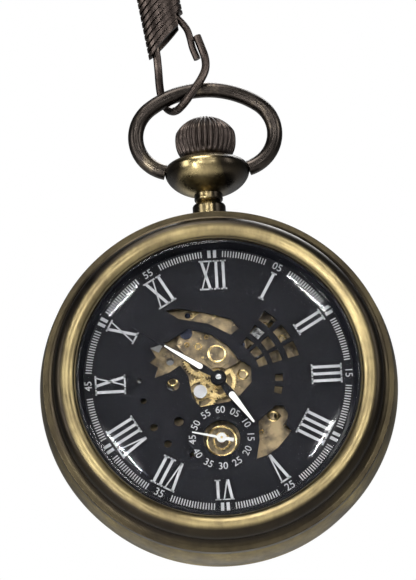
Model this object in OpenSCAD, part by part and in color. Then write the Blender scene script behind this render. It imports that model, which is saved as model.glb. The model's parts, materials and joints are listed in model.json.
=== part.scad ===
// Open-face skeleton pocket watch, hanging from the hook of its chain clasp.
//
// Every piece is drawn on the watch plane: x to the right, y towards 12 o'clock, z out of the dial
// towards the viewer, with the origin at the middle of the case. hung() then stands it upright:
// +Z towards 12 o'clock, the dial facing -Y, and the origin in the middle of the clasp's eye.

/* [Case] */
// Outer diameter of the case
case_d = 47; // [46.6:0.1:47.4]
// Height of the case band
band_h = 6.7; // [6.5:0.1:6.8]
// Width of the rounded front of the bezel
bezel_round = 3.2; // [3:0.1:3.4]
// Height of the middle of the glass over the bezel
glass_rise = 1; // [0.6:0.1:1.2]
// Diameter of the window in the back
back_window_d = 31.6; // [28:0.2:32]

/* [Pendant and crown] */
// Diameter of the pendant's neck
neck_d = 4.3; // [4:0.1:4.6]
// Diameter of the pendant's lens-shaped head
head_d = 11.3; // [11:0.1:11.8]
// Diameter of the crown over its ridges
crown_d = 8.1; // [7.6:0.1:8.4]
// Number of grooves round the crown
crown_grooves = 30; // [20:1:36]
// How far the crown pulls out to set the hands
crown_travel = 1; // [0.8:0.1:1.1]

/* [Bow] */
// Thickness of the bow's wire
bow_wire_d = 2.05; // [1.8:0.05:2.1]
// Half the width of the bow, to the middle of its wire
bow_half_w = 9.275; // [9.2:0.025:9.5]

/* [Clasp] */
// Thickness of the hook's wire
hook_wire_d = 1.1; // [0.9:0.05:1.15]
// Width of the ribbed cap
cap_w = 5.7; // [5.4:0.1:6]
// Depth of the ribbed cap, front to back
cap_depth = 3.4; // [3.2:0.1:3.8]
// Lean of the cap to the left
cap_lean = 8.3; // [7.5:0.1:9]
// Radius of the hole in the clasp's eye
eye_r = 1.25; // [1:0.05:1.4]

/* [Dial and hands] */
// Height of the dial's face over the middle of the case
dial_z = 4.7; // [4.7:0.05:4.75]
// Thickness of the dial
dial_t = 0.4; // [0.3:0.05:0.4]
// Angle of the hour hand, clockwise from 12
hour_angle = 145; // [0:1:359]
// Angle of the minute hand, clockwise from 12
minute_angle = 304; // [0:1:359]
// Angle of the seconds hand, clockwise from 12
second_angle = 284; // [0:1:359]

/* [Movement] */
// Radius of the movement
movement_r = 17.2; // [17:0.1:17.3]
// Thickness of the main plate
plate_t = 1.1; // [1:0.05:1.1]
// Distance of the seconds hand below the middle of the dial
seconds_drop = 7.9; // [7.8:0.05:8]
// Number of spokes in each train wheel
wheel_spokes = 5; // [3:1:6]

/* [Hidden] */
$fn = 64;

antique = [0.52, 0.44, 0.30];
dark_bronze = [0.26, 0.22, 0.19];
gold = [0.72, 0.60, 0.38];
brass = [0.78, 0.66, 0.36];
steel = [0.72, 0.73, 0.75];
blued = [0.16, 0.20, 0.38];
ruby = [0.75, 0.10, 0.22];
black = [0.10, 0.10, 0.11];
ivory = [0.86, 0.85, 0.80];
clear = [0.80, 0.86, 0.90, 0.25];

eps = 0.01;
fit = 0.05;
case_r = case_d / 2;
band_back = -band_h / 2;
band_front = band_h / 2;
band_in = case_r - 2.6;
band_curve_r = 10;

// Heights of the case's layers
bezel_z = 7.3;
lip_r = case_r - 5.1;
glass_seat_r = lip_r + 0.5;
glass_rim = [6.1, 6.85];
glass_t = glass_rim[1] - glass_rim[0];
glass_dome_r = 125;
gasket_t = 0.15;
back_z = -5.7;
dial_back = dial_z - dial_t;
dial_r = lip_r - 0.1;

// Heights of the movement's layers
plate_front = 3;
plate_back = plate_front - plate_t;
bridge_front = -0.9;
bridge_t = 1.1;
bridge_back = bridge_front - bridge_t;
pallet_cock_z = [0.25, 0.6];
minute_bridge_z = [3.8, 4.1];
setting_lever_z = [1.35, 1.7];
click_z = [bridge_back - 0.6, bridge_back - 0.25];
click_spring_z = [bridge_back - 0.5, bridge_back - 0.25];

function polar(r, a) = [r * cos(a), r * sin(a)];
function clock(r, a) = [r * sin(a), r * cos(a)];
function meet(p, rp, q, rq, side) =
    let (d = norm(q - p), a = acos((rp * rp + d * d - rq * rq) / (2 * rp * d)),
         t = atan2(q.y - p.y, q.x - p.x) + side * a)
    p + polar(rp, t);
function bearing(p, q) = atan2(q.y - p.y, q.x - p.x);
// Turn of a wheel's first tooth that puts a gap opposite the tooth of the wheel it meshes with
function mesh_turn(p, q, n, turn, m) =
    let (t = bearing(p, q), u = (t - turn) * n / 360)
    t + 180 - (0.5 - u) * 360 / m;

// Gears: teeth and modules
centre_n = 80;
centre_mod = 0.145;
centre_pinion_n = 12;
barrel_n = 72;
barrel_mod = 0.2;
third_n = 75;
third_mod = 0.13;
leaf_n = 10;
fourth_n = 70;
fourth_mod = 0.12;
escape_leaf_n = 7;
escape_n = 15;
cannon_n = 12;
minute_n = 36;
minute_leaf_n = 12;
hour_n = 48;
motion_gap = 2.9;
minute_mod = 2 * motion_gap / (cannon_n + minute_n);
hour_mod = 2 * motion_gap / (minute_leaf_n + hour_n);
intermediate_n = 43;
setting_n = 52;
winding_n = 14;
winding_mod = 0.2;
sliding_mod = 0.11;
crown_wheel_n = 24;
crown_wheel_mod = 0.24;
ratchet_n = 44;

// Places of the arbors
centre_at = [0, 0];
fourth_at = [0, -seconds_drop];
barrel_gap = (barrel_n + centre_pinion_n) * barrel_mod / 2;
barrel_at = polar(barrel_gap, 49.1);
third_at = meet(centre_at, (centre_n + leaf_n) * centre_mod / 2,
                fourth_at, (third_n + leaf_n) * third_mod / 2, 1);
escape_at = fourth_at + polar((fourth_n + escape_leaf_n) * fourth_mod / 2, 204.3);
balance_at = [-9.5, -2.5];
escape_r = 2.4;
fork_line = bearing(escape_at, balance_at);
fork_at = escape_at + polar(escape_r / cos(30), fork_line);
minute_at = polar(motion_gap, 212.3);
setting_at = [0, 8.61];
intermediate_at = meet(minute_at, (minute_n + intermediate_n) * minute_mod / 2,
                       setting_at, (intermediate_n + setting_n) * minute_mod / 2, 1);
crown_wheel_gap = (crown_wheel_n + ratchet_n) * crown_wheel_mod / 2;
crown_wheel_at = [0, barrel_at.y + sqrt(pow(crown_wheel_gap, 2) - pow(barrel_at.x, 2))];
setting_lever_at = [-3.8, 15.7];

// Turns that bring the teeth into mesh
centre_turn = 0;
third_leaf_turn = mesh_turn(centre_at, third_at, centre_n, centre_turn, leaf_n);
fourth_leaf_turn = mesh_turn(third_at, fourth_at, third_n, third_leaf_turn, leaf_n);
escape_leaf_turn = mesh_turn(fourth_at, escape_at, fourth_n, fourth_leaf_turn, escape_leaf_n);
barrel_turn = mesh_turn(centre_at, barrel_at, centre_pinion_n, centre_turn, barrel_n);
minute_turn = mesh_turn(centre_at, minute_at, cannon_n, centre_turn, minute_n);
hour_turn = mesh_turn(minute_at, centre_at, minute_leaf_n, minute_turn, hour_n);
intermediate_turn = mesh_turn(minute_at, intermediate_at, minute_n, minute_turn, intermediate_n);
setting_turn = mesh_turn(intermediate_at, setting_at, intermediate_n, intermediate_turn, setting_n);
crown_wheel_turn = 90;
ratchet_turn = mesh_turn(crown_wheel_at, barrel_at, crown_wheel_n, crown_wheel_turn, ratchet_n);

// Arbors that run in a jewel of the main plate, and those that run in the bridges
pivot_r = 0.15;
jewel_r = 0.7;
jewel_t = 0.35;
front_jewels = [third_at, fourth_at, escape_at, fork_at, balance_at];
train_jewels = [third_at, fourth_at, escape_at];

// Screws: head radius, head height and shank radius
screw_head_r = 0.8;
screw_head_h = 0.35;
screw_r = 0.4;
barrel_screws = [[14.6, 5], [4.6, 15.2], [-3.6, 9.2]];
barrel_bridge_r = 10.4;
pillar_r = 1.3;
crown_post_r = 0.8;
train_screws = [[9.6, -10.6], [-4.6, -14.4]];
balance_screw = [-14.8, 1.2];
pallet_screw = [-8.9, -11.2];
regulator_boss_r = 1;
case_screw_at = [polar(movement_r - 0.6, 135), polar(movement_r - 0.6, -45)];
case_screw_head_r = 1;
case_screw_z = 0.9;
cover_screws = [[2.9, 4.6], [-3.9, 6.5]];
cover_head_h = 0.18;
crown_screw_head_r = 1.3;
bridge_screw_l = 5.1;
click_at = [12.1, 8.2];
click_spring_at = [9.9, 12.7];

// Crown, pendant and bow: heights above the middle of the case
pendant_foot_r = 2;
groove_y = 25.2;
pivot_y = 30.1;
head_y = 29.9;
head_top = 31.1;
head_depth = 3.6;
head_shoulder = 1.9;
crown_base = 31.25;
crown_wide_y = 34.05;
crown_top = 37.3;
crown_dome_r = 4.6;
gasket_h = 0.4;
stem_top = 35.4;
stem_r = 0.62;
collar_r = 1.35;
bow_side_r = 5;
bow_wide_y = 34.8;
bow_top_y = 41.175;
bow_pin_r = 0.6;
bow_end_x = head_d / 2 + 0.12;
bow_pin_depth = 1.5;

// Clasp: the middle of the eye, and the cap's mouth, on the watch plane
eye_at = [-6, 59];
cap_top = -2.6;
cap_wall = 0.3;
cap_mouth_slope = 38;
cap_mouth_y = -10.7;
rib_pitch = 0.72;
rib_count = 12;

// Stands a piece drawn on the watch plane upright, with the clasp's eye at the origin
module hung() {
    translate([-eye_at.x, 0, -eye_at.y]) rotate([90, 0, 0]) children();
}

// Moves to a point of the watch plane, at a height
module at(p, z = 0) {
    translate([p.x, p.y, z]) children();
}

// Disc or ring between two heights
module disc(r, z0, z1, hole = 0) {
    translate([0, 0, z0]) difference() {
        cylinder(r = r, h = z1 - z0);
        if (hole > 0) translate([0, 0, -1]) cylinder(r = hole, h = z1 - z0 + 2);
    }
}

// Turned ring: a flat outline of radius and height, spun about the watch's axis
module turned(angle = 360) {
    rotate_extrude(angle = angle, $fn = 128) children();
}

// Turned piece whose axis is the stem's, with its height along y
module stem_turned() {
    rotate([-90, 0, 0]) rotate_extrude() children();
}

function tooth(i, n, m) =
    let (a = 360 / n, ri = m * n / 2 - 1.2 * m, ro = m * n / 2 + 0.9 * m)
    [polar(ri, (i - 0.3) * a), polar(ro, (i - 0.1) * a), polar(ro, (i + 0.1) * a), polar(ri, (i + 0.3) * a)];

// Toothed disc of n teeth and module m, its first tooth turned to an angle
module gear(n, m, z0, z1, turn, hole = 0) {
    translate([0, 0, z0]) difference() {
        rotate(turn) linear_extrude(z1 - z0) polygon([for (i = [0 : n - 1]) each tooth(i, n, m)]);
        if (hole > 0) translate([0, 0, -1]) cylinder(r = hole, h = z1 - z0 + 2, $fn = 32);
    }
}

// Toothed wheel with spokes
module spoked_gear(n, m, z0, z1, turn, hub, rim, spokes = wheel_spokes) {
    root_r = m * n / 2 - 1.2 * m;
    open = 360 / spokes * 0.8;
    difference() {
        gear(n, m, z0, z1, turn);
        for (i = [0 : spokes - 1]) {
            rotate(turn + (i + 0.1) * 360 / spokes) translate([0, 0, z0 - 1]) rotate_extrude(angle = open)
                translate([hub, 0]) square([root_r - rim - hub, z1 - z0 + 2]);
        }
    }
}

// Arbor with thin pivots at both ends, from the bridge's jewel to the main plate's
module arbor(r, z0 = bridge_front, z1 = plate_back) {
    disc(r, z0 + 0.05, z1 - 0.05);
    disc(pivot_r, z0 - 0.3, z1 + 0.3);
}

// Slotted screw, its head's top at z and its shank running away from it: down if side is 1, up if -1
module screw(p, z, length, side, head_r = screw_head_r, head_h = screw_head_h) {
    at(p, z) mirror([0, 0, (1 - side) / 2]) difference() {
        union() {
            translate([0, 0, -head_h]) cylinder(r = head_r, h = head_h, $fn = 32);
            translate([0, 0, -length]) cylinder(r = screw_r, h = length, $fn = 32);
        }
        translate([-2, -0.1, -head_h / 2]) cube([4, 0.2, head_h]);
    }
}

module screw_hole(p, z0, z1) {
    at(p, z0 - 1) cylinder(r = screw_r, h = z1 - z0 + 2, $fn = 32);
}

// Flat bar with round ends from p to q
module bar(p, q, rp, rq) {
    hull() {
        translate(p) circle(rp);
        translate(q) circle(rq);
    }
}

// ---- Clasp ----

function unit(v) = v / norm(v);
function spline(p, i, t) =
    let (a = p[max(i - 1, 0)], b = p[i], c = p[i + 1], d = p[min(i + 2, len(p) - 1)])
    0.5 * (2 * b + (c - a) * t + (2 * a - 5 * b + 4 * c - d) * t * t + (3 * b - a - 3 * c + d) * t * t * t);
function smooth(p, steps) =
    [for (i = [0 : len(p) - 2]) for (k = [0 : steps - 1]) spline(p, i, k / steps), p[len(p) - 1]];

// Round wire swept along a smooth curve through points
module wire(points, d, steps = 4, sides = 12) {
    path = smooth(points, steps);
    n = len(path);
    heading = [for (i = [0 : n - 1]) unit(path[min(i + 1, n - 1)] - path[max(i - 1, 0)])];
    across = [for (h = heading) unit(cross(h, [0.3, 0.1, 1]))];
    rings = [for (i = [0 : n - 1]) for (k = [0 : sides - 1])
        path[i] + d / 2 * (across[i] * cos(k * 360 / sides) + cross(heading[i], across[i]) * sin(k * 360 / sides))];
    skin = [for (i = [0 : n - 2]) for (k = [0 : sides - 1])
        let (a = i * sides + k, b = i * sides + (k + 1) % sides) each [[a, b + sides, b], [a, a + sides, b + sides]]];
    first = [for (k = [0 : sides - 1]) k];
    last = [for (k = [sides - 1 : -1 : 0]) (n - 1) * sides + k];
    polyhedron(rings, concat(skin, [first, last]));
}

latch_d = 0.95;
hook_route = [
    [-7.17, 55.6, -0.15], [-6.48, 50.85, -0.15], [-5.95, 46.9, -0.2], [-5.8, 44.5, -0.5], [-5.75, 42.6, -1.2],
    [-5.6, 41.2, -1.7], [-5.2, 39.9, -1.9], [-4.5, 38.9, -1.35], [-3.6, 38.5, -0.1], [-2.5, 39.1, 1.25],
    [-1.3, 40.5, 1.9], [-0.2, 42, 1.8], [0.5, 43.6, 1.4], [0.55, 45.2, 1.1], [0.1, 46.9, 0.9], [-0.4, 48.5, 0.8]
];
latch_route = [
    [-3.48, 52.09, -0.15], [-2.53, 51.12, -0.15], [-1.7, 49.9, -0.2], [-1.34, 48.7, -0.25],
    [-1.05, 47.2, -0.3], [-0.5, 45.6, -0.3]
];

// Frame of the clasp's cap: its eye at the origin, its length along y
module cap_frame() {
    at(eye_at) rotate(cap_lean) children();
}

function oval(w, h, n = 48) = [for (i = [0 : n - 1]) [w / 2 * cos(i * 360 / n), h / 2 * sin(i * 360 / n)]];

// Oval block along the cap, from y0 up to y1
module cap_block(w, d, y0, y1) {
    translate([0, y1, 0]) rotate([90, 0, 0]) linear_extrude(y1 - y0) polygon(oval(w, d));
}

// Everything above the cap's slanted mouth, raised along it by a step
module above_mouth(step, h) {
    translate([0, cap_mouth_y, 0]) rotate(cap_mouth_slope) translate([-10, step, -5]) cube([20, h, 10]);
}

module clasp_cap() {
    color(dark_bronze) hung() cap_frame() difference() {
        union() {
            intersection() {
                cap_block(cap_w - 0.5, cap_depth - 0.5, -14, cap_top);
                above_mouth(0, 14);
            }
            for (i = [0 : rib_count - 1]) {
                intersection() {
                    cap_block(cap_w, cap_depth, -14, cap_top - 0.6);
                    above_mouth(i * rib_pitch, rib_pitch * 0.62);
                }
            }
        }
        cap_block(cap_w - 0.5 - 2 * cap_wall, cap_depth - 0.5 - 2 * cap_wall, -15, cap_top - 1.3);
        translate([0, cap_top + 1, 0]) rotate([90, 0, 0]) cylinder(r = 0.6, h = 4, $fn = 32);
        hook_socket();
        latch_notch();
    }
}

// Hole in the cap's roof that the hook's wire is pressed into
module hook_socket() {
    translate([-1.65, cap_top - 0.6, -0.15]) rotate([90, 0, 0]) cylinder(d = hook_wire_d, h = 1, $fn = 32);
}

// Gap in the cap's low right-hand corner that the latch passes through
module latch_notch() {
    translate([1.9, -10, -2]) cube([2, 2.6, 4]);
}

module clasp_eye() {
    color(dark_bronze) hung() cap_frame() difference() {
        union() {
            cylinder(r = eye_r + 0.85, h = 1.2, center = true);
            translate([0, -eye_r - 0.3, 0]) rotate([90, 0, 0]) cylinder(r = 0.6, h = 2.2, $fn = 32);
            translate([0, -eye_r - 0.3, 0]) rotate([90, 0, 0]) cylinder(r = 1, h = 1.04, $fn = 32);
        }
        cylinder(r = eye_r, h = 3, center = true);
    }
}

module clasp_hook() {
    color(dark_bronze) hung() wire(hook_route, hook_wire_d);
}

module clasp_latch() {
    color(dark_bronze) hung() {
        wire(latch_route, latch_d);
        at(latch_route[0], latch_route[0].z - 0.5) cylinder(r = 0.55, h = 1, $fn = 32);
    }
}

// ---- Bow ----

module bow() {
    top_r = (pow(bow_half_w - bow_side_r, 2) + pow(bow_top_y - bow_wide_y, 2) - pow(bow_side_r, 2))
        / (2 * (bow_top_y - bow_wide_y - bow_side_r));
    top_y = bow_top_y - top_r;
    half = atan2(bow_half_w - bow_side_r, bow_wide_y - top_y);
    low = 83;
    color(antique) hung() {
        at([0, top_y]) rotate(90 - half) rotate_extrude(angle = 2 * half) translate([top_r, 0]) circle(d = bow_wire_d);
        for (s = [0, 1]) mirror([s, 0, 0]) {
            at([0, top_y]) rotate(90 - half) translate([top_r, 0]) sphere(d = bow_wire_d + 0.04);
            intersection() {
                at([bow_half_w - bow_side_r, bow_wide_y]) rotate(-low) rotate_extrude(angle = low + 90 - half)
                    translate([bow_side_r, 0]) circle(d = bow_wire_d);
                translate([bow_end_x, 0, -5]) cube([10, 60, 10]);
            }
            translate([bow_end_x - bow_pin_depth, pivot_y, 0]) rotate([0, 90, 0]) {
                cylinder(r = bow_pin_r, h = bow_pin_depth + 0.5);
            }
        }
    }
}

// ---- Case ----

// Outline of the case band: a flat ring with a rounded side
module band_outline(inner) {
    intersection() {
        translate([inner, band_back]) square([case_r - inner + eps, band_h]);
        translate([case_r - band_curve_r, 0]) circle(band_curve_r, $fn = 128);
    }
}

module mid_case() {
    color(antique) hung() difference() {
        turned() union() {
            band_outline(band_in);
            translate([band_in - 0.5, band_back]) square([0.6, 0.6]);
        }
        rotate([-90, 0, 0]) cylinder(r = pendant_foot_r, h = case_r + 1);
    }
}

// Bowl-shaped half outline, w wide and d deep, with its rim at y = 0
function bowl(w, d, n = 16) = [[0, 0], for (i = [0 : n]) [w / 2 * cos(i * 90 / n), -d * sin(i * 90 / n)]];

module pendant() {
    neck_r = neck_d / 2;
    color(antique) hung() difference() {
        union() {
            difference() {
                stem_turned() {
                    translate([0, band_in]) square([neck_r + 0.05, groove_y - band_in]);
                    translate([0, groove_y]) square([neck_r - 0.4, 0.25]);
                    translate([0, groove_y + 0.25]) square([neck_r - 0.25, 2]);
                    translate([0, head_y]) polygon(bowl(head_d, head_depth));
                    intersection() {
                        translate([0, head_y]) polygon(bowl(head_d, -head_shoulder));
                        translate([0, head_y]) square([head_d, head_top - head_y]);
                    }
                }
                turned() band_outline(1);
            }
            translate([0, band_in - 0.4, 0]) rotate([-90, 0, 0]) cylinder(r = pendant_foot_r, h = 4);
        }
        rotate([-90, 0, 0]) cylinder(r = stem_r + fit, h = 40);
        for (s = [-1, 1]) {
            translate([s * (head_d / 2 + 1), pivot_y, 0]) rotate([0, -s * 90, 0]) cylinder(r = bow_pin_r + fit, h = 3.1);
        }
    }
}

module bezel_outline() {
    round_r = bezel_round / 2;
    difference() {
        union() {
            translate([lip_r + round_r, bezel_z - round_r]) circle(round_r);
            translate([glass_seat_r, band_front]) square([case_r - 0.55 - glass_seat_r, 1.2]);
            translate([lip_r + 0.2, band_front]) square([bezel_round - 0.6, bezel_z - round_r - band_front]);
        }
        translate([case_r - 0.95, bezel_z - 1.55]) circle(1.25);
        translate([0, 0]) square([glass_seat_r, glass_rim[1]]);
    }
}

module bezel() {
    color(antique) hung() turned() bezel_outline();
}

// Outline under the glass's dome, up to a height in the middle
module dome(top) {
    intersection() {
        translate([0, top - glass_dome_r]) circle(glass_dome_r, $fn = 1440);
        translate([0, glass_rim[0]]) square([lip_r - fit, top]);
    }
}

module crystal() {
    top = bezel_z + glass_rise;
    color(clear) hung() turned() union() {
        difference() {
            dome(top);
            dome(top - glass_t);
        }
        translate([lip_r - 0.3, glass_rim[0]]) square([glass_seat_r - gasket_t - lip_r + 0.3, glass_t]);
    }
}

module crystal_gasket() {
    color(black) hung() disc(glass_seat_r, glass_rim[0], glass_rim[1], glass_seat_r - gasket_t);
}

module rehaut_ring() {
    color(black) hung() turned() polygon([
        [dial_r - 0.7, dial_z], [dial_r, dial_z], [glass_seat_r, dial_z + 0.1],
        [glass_seat_r, glass_rim[0]], [dial_r - 0.2, glass_rim[0]]
    ]);
}

module back_cover() {
    window_r = back_window_d / 2;
    edge = 1.35;
    color(antique) hung() turned() difference() {
        union() {
            translate([window_r, back_z]) square([case_r - 2 - window_r, -back_z + band_back]);
            translate([case_r - 0.55 - edge, back_z + edge]) circle(edge);
        }
        translate([window_r - 1, back_z + 0.5]) square([1.9, 1]);
        translate([0, back_z + 1.5]) square([band_in - 1, 4]);
        translate([0, band_back]) square([case_r + 1, 4]);
    }
}

module back_glass() {
    color(clear) hung() disc(back_window_d / 2 + 0.9, back_z + 0.5, back_z + 1.5);
}

module movement_ring() {
    color(steel) hung() difference() {
        turned() union() {
            translate([movement_r + 0.1, band_back + 0.6]) square([band_in - movement_r - 0.2, band_h - 0.7]);
            translate([movement_r + 0.1, 0]) square([glass_seat_r - movement_r - 0.15, dial_back]);
        }
        rotate([-90, 0, 0]) cylinder(r = collar_r + 0.1, h = case_r);
        translate([-3, 16, -0.3]) cube([3, 2, 2.2]);
        translate([0, band_in - 0.6, 0]) rotate([-90, 0, 0]) cylinder(r = pendant_foot_r + 0.2, h = 4);
        for (p = case_screw_at) {
            at(p, bridge_back - 2) cylinder(r = case_screw_head_r + 0.1, h = 2 - bridge_back + case_screw_z + screw_head_h);
        }
    }
}

module case_screws() {
    color(steel) hung() for (p = case_screw_at) screw(p, case_screw_z, 2, -1, case_screw_head_r);
}

// ---- Dial ----

// Wedge-shaped window between two radii and two clock angles
module sector_window(r0, r1, a0, a1) {
    rotate(90 - a1) rotate_extrude(angle = a1 - a0) translate([r0, -1]) square([r1 - r0, 3]);
}

window_middle = [
    [-8.7, 4.7], [-6.1, 5.5], [-3.6, 7], [-0.6, 6], [1.4, 4.5], [2.7, 2.6], [4.3, 1.5], [4.3, -0.6],
    [2.7, -2.3], [1.2, -3.1], [-2.5, -3.6], [-3.5, -2.4], [-3.9, 0.6], [-4.9, 2.1], [-6.4, 1.2],
    [-8.3, 0.6], [-7.8, 2], [-8.9, 2.7], [-8, 3.4]
];
window_top = [
    [-6.5, 9.6], [-4.8, 9.8], [-1.5, 9.1], [2, 8], [3.1, 6.7], [1.9, 5.9], [-0.9, 7.5], [-4.8, 8.4]
];
window_wing = [
    [6.3, -4.7], [7.2, -3.9], [8.2, -4], [8.8, -5.1], [8.5, -6.5], [9.1, -7.4], [8.4, -8.3],
    [7.2, -9.6], [5.8, -10.5], [4.4, -10.9], [4.9, -8.4], [4.9, -5.9]
];
window_spots = [
    [-5.95, -0.4, 0.85], [-5.45, -5.4, 0.62], [-7, -8.3, 0.5], [-8.7, -6, 0.5], [-3.9, -9.9, 0.35],
    [-9.9, -2.4, 0.4], [-10.3, 0.3, 0.3]
];
tile_rows = [[5.5, 6.7], [7.4, 8.7], [9.5, 11]];
tile_columns = [[36, 47], [51, 62], [65, 76]];

module dial_windows() {
    translate([0, 0, dial_back - 1]) linear_extrude(3) {
        polygon(window_middle);
        polygon(window_top);
        polygon(window_wing);
    }
    for (w = window_spots) at(w, dial_back - 1) cylinder(r = w.z, h = 3, $fn = 32);
    for (r = tile_rows) for (c = tile_columns) {
        translate([0, 0, dial_back]) sector_window(r[0], r[1], c[0], c[1]);
    }
    for (a = [88, 100]) translate([0, 0, dial_back]) sector_window(7.4, 8.4, a, a + 7);
    at(fourth_at, dial_back - 1) cylinder(r = 2.4, h = 3);
}

dial_feet = [clock(15.4, 75), clock(15.4, 255)];

module dial() {
    color(black) hung() {
        difference() {
            disc(dial_r, dial_back, dial_z);
            dial_windows();
        }
        for (p = dial_feet) at(p, plate_front - 0.8) cylinder(r = 0.4, h = dial_back - plate_front + 0.8, $fn = 32);
    }
}

// Hand on the dial: a round hub and a blade that widens, then narrows to its tip, at a clock angle
module hand(angle, z, hub, hole, widths, lengths) {
    translate([0, 0, z]) rotate(-angle) difference() {
        union() {
            cylinder(r = hub, h = hand_t, $fn = 48);
            linear_extrude(hand_t) polygon([
                [-widths[0], hole], [-widths[1], lengths[0]], [-widths[2], lengths[1]],
                [widths[2], lengths[1]], [widths[1], lengths[0]], [widths[0], hole]
            ]);
        }
        translate([0, 0, -1]) cylinder(r = hole, h = 3, $fn = 48);
    }
}

hour_z = 5.2;
minute_z = 5.6;
hand_t = 0.15;
lume_t = 0.1;
seconds_z = dial_z + 0.15;

module hour_hand() {
    color(black) hung() hand(hour_angle, hour_z, 1.05, 0.62, [0.35, 0.55, 0.2], [2.4, 7.6]);
}

module minute_hand() {
    color(black) hung() union() {
        hand(minute_angle, minute_z, 0.85, 0.35, [0.3, 0.5, 0.17], [2.4, 8.4]);
        hand(minute_angle, minute_z, 0.85, 0.35, [0.1, 0.16, 0.05], [8.3, 12.9]);
    }
}

module hour_lume() {
    color(ivory) hung() translate([0, 0, hour_z + hand_t]) rotate(-hour_angle) linear_extrude(lume_t)
        bar([0, 2.9], [0, 7.4], 0.42, 0.12);
}

module minute_lume() {
    color(ivory) hung() translate([0, 0, minute_z + hand_t]) rotate(-minute_angle) linear_extrude(lume_t)
        bar([0, 2.8], [0, 8.1], 0.36, 0.1);
}

module seconds_hand() {
    color(steel) hung() at(fourth_at) {
        hand(second_angle, seconds_z, 0.64, pivot_r, [0.16, 0.16, 0.08], [0.6, 3.9]);
        hand(second_angle + 180, seconds_z, 0.64, pivot_r, [0.2, 0.2, 0.24], [0.6, 1.6]);
    }
}

// ---- Winding and setting ----

module crown() {
    r = crown_d / 2;
    color(dark_bronze) hung() difference() {
        stem_turned() difference() {
            intersection() {
                translate([0, crown_base]) square([r, crown_top - crown_base]);
                translate([0, crown_wide_y]) circle(r, $fn = 128);
                translate([0, crown_top - crown_dome_r]) circle(crown_dome_r, $fn = 128);
            }
            square([stem_r, stem_top]);
            square([1, crown_base + gasket_h]);
        }
        for (i = [0 : crown_grooves - 1]) rotate([0, i * 360 / crown_grooves, 0]) {
            translate([r + 0.08, crown_base + 1, 0]) rotate([-90, 0, 0]) cylinder(r = 0.3, h = 6, $fn = 24);
        }
    }
}

module crown_gasket() {
    color(black) hung() stem_turned() translate([stem_r, crown_base]) square([1 - stem_r, gasket_h]);
}

module winding_stem() {
    color(steel) hung() rotate([-90, 0, 0]) {
        translate([0, 0, 11.3]) cylinder(r = 0.35, h = 2.8);
        translate([0, 0, 14]) cylinder(r = 0.5, h = 2);
        translate([0, 0, 16]) cylinder(r = 0.4, h = 1);
        translate([0, 0, 17]) cylinder(r = stem_r, h = stem_top - 17);
    }
}

// Grooved collar on the stem, held by the setting lever's finger
module stem_collar() {
    color(steel) hung() stem_turned() {
        for (y = [16.05, 16.75]) translate([0.4 + fit, y]) square([collar_r - 0.4 - fit, 0.2]);
        translate([0.4 + fit, 16.05]) square([0.3, 0.9]);
    }
}

module setting_lever() {
    finger = [-1.75, 16.45];
    z = setting_lever_z;
    color(steel) hung() difference() {
        union() {
            translate([0, 0, z[0]]) linear_extrude(z[1] - z[0]) {
                bar(setting_lever_at, finger, 0.75, 0.35);
                bar(setting_lever_at, setting_lever_at + [-1.4, -1.9], 0.75, 0.4);
            }
            at(finger, 0) cylinder(r = 0.18, h = 1.4, $fn = 32);
            at(finger, 0) rotate([0, 90, 0]) cylinder(r = 0.18, h = 0.9, $fn = 32);
        }
        at(setting_lever_at) cylinder(r = screw_r + fit, h = 4, $fn = 32);
    }
}

module sliding_pinion() {
    color(steel) hung() rotate([-90, 0, 0]) difference() {
        union() {
            gear(winding_n, sliding_mod, 12.4, 13.1, 0);
            translate([0, 0, 13.1]) cylinder(r = 0.75, h = 0.6);
        }
        cylinder(r = 0.35 + fit, h = 20);
    }
}

module winding_pinion() {
    color(steel) hung() rotate([-90, 0, 0]) gear(winding_n, winding_mod, 14.3, 15.4, 90 + 180 / winding_n, 0.5 + fit);
}

// Flat wheel with a ring of teeth on its inner side that the winding pinion drives
module crown_wheel() {
    ring_r = crown_wheel_n * winding_mod / 2;
    color(steel) hung() at(crown_wheel_at) {
        difference() {
            union() {
                gear(crown_wheel_n, crown_wheel_mod, bridge_back - 0.65, bridge_back - 0.25, crown_wheel_turn);
                disc(ring_r + 0.2, bridge_back - 0.65, -1.7);
                for (i = [0 : crown_wheel_n - 1]) rotate(crown_wheel_turn + i * 360 / crown_wheel_n) {
                    translate([ring_r - 0.15, -0.09, -1.75]) cube([0.35, 0.18, 0.45]);
                }
            }
            disc(ring_r - 0.25, bridge_back + 0.2, 0);
            disc(crown_post_r + fit, -5, 0);
        }
    }
}

module ratchet_wheel() {
    color(steel) hung() at(barrel_at) difference() {
        gear(ratchet_n, crown_wheel_mod, bridge_back - 0.65, bridge_back - 0.25, ratchet_turn);
        translate([-0.5, -0.5, -4]) cube([1, 1, 3]);
        for (i = [0 : 2]) rotate(i * 120) at([3, 0], -4) cylinder(r = 0.8, h = 3, $fn = 32);
    }
}

module click() {
    tip = barrel_at + polar(ratchet_n * crown_wheel_mod / 2 + 0.55, 30);
    color(blued) hung() difference() {
        translate([0, 0, click_z[0]]) linear_extrude(click_z[1] - click_z[0]) bar(click_at, tip, 0.8, 0.2);
        at(click_at, -5) cylinder(r = screw_r + fit, h = 4, $fn = 32);
    }
}

module click_spring() {
    bend = [11.6, 10.6];
    color(blued) hung() difference() {
        union() {
            translate([0, 0, click_spring_z[0]]) linear_extrude(click_spring_z[1] - click_spring_z[0]) {
                bar(bend, [12.7, 9.25], 0.2, 0.12);
                bar(bend, click_spring_at, 0.2, 0.4);
            }
            at(click_spring_at, click_spring_z[0]) cylinder(r = 0.8, h = bridge_back - click_spring_z[0], $fn = 32);
        }
        screw_hole(click_spring_at, -5, 0);
    }
}

// ---- Plates and bridges ----

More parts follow.
